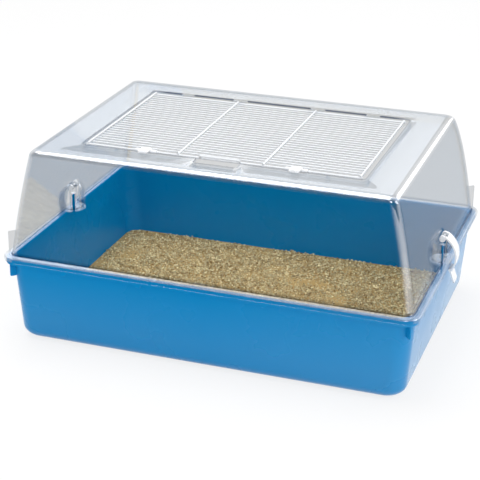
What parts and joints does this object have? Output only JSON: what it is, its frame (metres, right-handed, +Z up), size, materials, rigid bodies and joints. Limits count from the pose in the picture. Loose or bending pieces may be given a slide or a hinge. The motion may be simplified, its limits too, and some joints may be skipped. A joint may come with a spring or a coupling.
{
  "type": "plastic pet keeper",
  "caption": "Rectangular small-pet keeper: a deep coloured tub with bedding, a clear lift-off cover with a hinged wire grille in its roof, and white clips.",
  "frame": {"origin": "middle of the tub's flat base, on the surface it stands on", "axes": "+X along the length to the right seen from the front, +Y to the back where the grille is hinged, +Z up"},
  "size_m": [0.565, 0.394, 0.2645],
  "materials": {
    "tub_plastic": "smooth moulded, slightly glossy",
    "granules": "loose dry granules",
    "clear_plastic": "clear, polished",
    "coated_wire": "white powder coating",
    "clip_plastic": "white, smooth moulded"
  },
  "bodies": {
    "tub_body": {"tub": "tub_plastic", "bedding": "granules"},
    "cover_body": {"cover": "clear_plastic"},
    "grille_body": {"hinge_wire": "coated_wire", "front_wire": "coated_wire", "end_wires": "coated_wire", "cross_wires": "coated_wire", "long_wires": "coated_wire", "lift_bar": "coated_wire"},
    "roof_clip_left_body": {"roof_clip_left": "clip_plastic"},
    "roof_clip_right_body": {"roof_clip_right": "clip_plastic"},
    "side_clip_left_body": {"side_clip_left": "clip_plastic"},
    "side_clip_right_body": {"side_clip_right": "clip_plastic"}
  },
  "joints": [
    {"name": "cover_lift", "type": "slide", "parent": "tub_body", "child": "cover_body", "axis": [0, 0, 1], "range_m": [0, 0.16]},
    {"name": "grille_hinge", "type": "hinge", "parent": "cover_body", "child": "grille_body", "pos_m": [0, 0.106, 0.259], "axis": [-1, 0, 0], "range_deg": [0, 105]},
    {"name": "roof_clip_left_turn", "type": "hinge", "parent": "grille_body", "child": "roof_clip_left_body", "pos_m": [-0.099, -0.1195, 0.259], "axis": [-1, 0, 0], "range_deg": [0, 100]},
    {"name": "roof_clip_right_turn", "type": "hinge", "parent": "grille_body", "child": "roof_clip_right_body", "pos_m": [0.099, -0.1195, 0.259], "axis": [-1, 0, 0], "range_deg": [0, 100]},
    {"name": "side_clip_left_swing", "type": "hinge", "parent": "cover_body", "child": "side_clip_left_body", "pos_m": [-0.2625, 0, 0.148], "axis": [0, 1, 0], "range_deg": [0, 90]},
    {"name": "side_clip_right_swing", "type": "hinge", "parent": "cover_body", "child": "side_clip_right_body", "pos_m": [0.2625, 0, 0.148], "axis": [0, -1, 0], "range_deg": [0, 90]}
  ]
}
